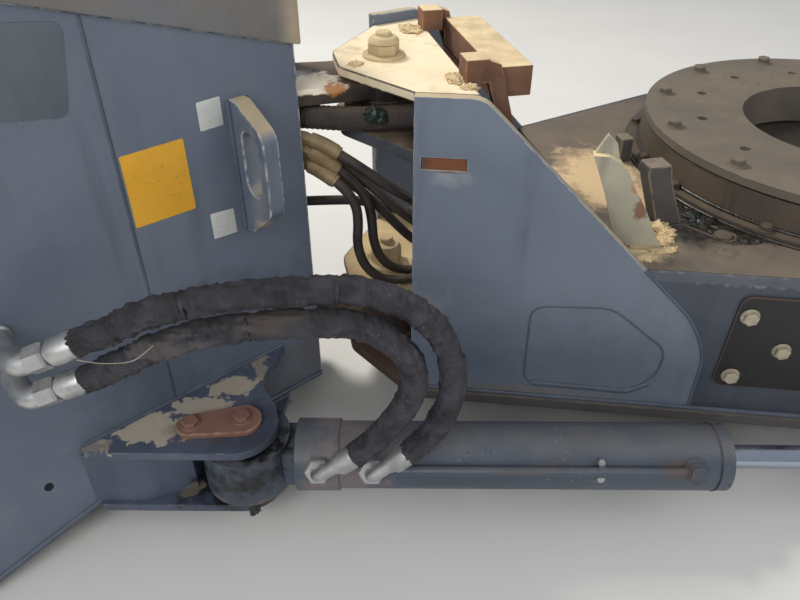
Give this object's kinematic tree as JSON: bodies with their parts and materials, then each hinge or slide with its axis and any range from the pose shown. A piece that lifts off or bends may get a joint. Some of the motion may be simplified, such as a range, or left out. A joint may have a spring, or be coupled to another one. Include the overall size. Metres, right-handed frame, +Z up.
{
  "type": "articulated centre joint of a site dumper",
  "caption": "Centre section of a wheeled site dumper: hinged front and rear frames, steering cylinder, hoses and a slewing turntable.",
  "frame": {"origin": "middle of the rear bulkhead's rear face, where the section bolts to the rear chassis", "axes": "+X forward along the machine, +Y to its left, +Z up"},
  "size_m": [1.68, 0.8164, 0.8755],
  "materials": {
    "frame_paint": "satin",
    "cover_paint": "satin",
    "worn_plate": "matt",
    "rusty_steel": "matt",
    "greasy_steel": "satin",
    "zinc_steel": "satin",
    "pin_steel": "satin",
    "rod_chrome": "gloss",
    "hose_black": "matt",
    "sleeve_brown": "matt"
  },
  "bodies": {
    "rear_frame": {"nose_wall_right": "frame_paint", "nose_wall_left": "frame_paint", "rear_bulkhead": "frame_paint", "nose_cowl": "frame_paint", "cowl_strips": "frame_paint", "nose_floor": "frame_paint", "upper_ear": "greasy_steel", "lower_ear": "greasy_steel", "nose_front_plates": "frame_paint", "bracket_upper_plate": "frame_paint", "bracket_lower_plate": "frame_paint", "bracket_web": "frame_paint", "cylinder_pin": "pin_steel", "pin_keeper": "rusty_steel", "lifting_eye_right": "frame_paint", "lifting_eye_left": "frame_paint", "wall_elbows": "zinc_steel", "steering_hose_upper": "hose_black", "steering_hose_lower": "hose_black", "joint_hose_sleeved": "sleeve_brown", "joint_hose_a": "hose_black", "joint_hose_b": "hose_black", "joint_hose_c": "hose_black", "joint_hose_d": "hose_black", "joint_hose_e": "hose_black", "joint_hose_f": "hose_black"},
    "front_frame": {"wing_right": "frame_paint", "wing_left": "frame_paint", "side_beam_right": "frame_paint", "side_beam_left": "frame_paint", "yoke_plate_top": "worn_plate", "yoke_plate_second": "rusty_steel", "yoke_plate_third": "worn_plate", "frame_floor": "frame_paint", "deck_plate": "frame_paint", "cross_plate": "frame_paint", "rail_right": "frame_paint", "rail_left": "frame_paint", "step_plates": "frame_paint", "front_end_plate": "frame_paint", "side_cover_right": "cover_paint", "side_cover_left": "cover_paint", "upper_pivot_pin": "pin_steel", "lower_pivot_pin": "pin_steel", "upper_pivot_nut": "worn_plate", "lower_pivot_nut": "worn_plate", "slew_ring_outer": "frame_paint", "axle_pads": "frame_paint", "rod_clevis": "frame_paint", "stop_plate": "worn_plate", "lock_lugs": "frame_paint", "rest_bracket": "rusty_steel"},
    "turntable": {"turntable": "frame_paint"},
    "cylinder_barrel": {"cylinder_barrel": "frame_paint", "port_elbows": "zinc_steel", "cylinder_pipe": "frame_paint"},
    "cylinder_rod": {"cylinder_rod": "rod_chrome"}
  },
  "joints": [
    {"name": "articulation", "type": "hinge", "parent": "rear_frame", "child": "front_frame", "pos_m": [0.62, 0, -0.07], "axis": [0, 0, 1], "range_deg": [-25, 25], "deforming": ["joint_hose_sleeved", "joint_hose_a", "joint_hose_b", "joint_hose_c", "joint_hose_d", "joint_hose_e", "joint_hose_f"]},
    {"name": "slewing", "type": "hinge", "parent": "front_frame", "child": "turntable", "pos_m": [1.35, 0, -0.04], "axis": [0, 0, 1], "range_deg": [-90, 90]},
    {"name": "cylinder_yaw", "type": "hinge", "parent": "rear_frame", "child": "cylinder_barrel", "pos_m": [0.3895, -0.2365, -0.274], "axis": [0, 0, 1], "range_deg": [-20.5, 20.5], "deforming": ["steering_hose_upper", "steering_hose_lower"]},
    {"name": "rod_slide", "type": "slide", "parent": "cylinder_barrel", "child": "cylinder_rod", "axis": [0.9763, -0.2164, 0], "range_m": [-0.12, 0.12]}
  ],
  "couplings": [
    {"joint": "cylinder_yaw", "follows": "articulation", "ratio": 0.8},
    {"joint": "rod_slide", "follows": "articulation", "m_per_rad": 0.274}
  ]
}
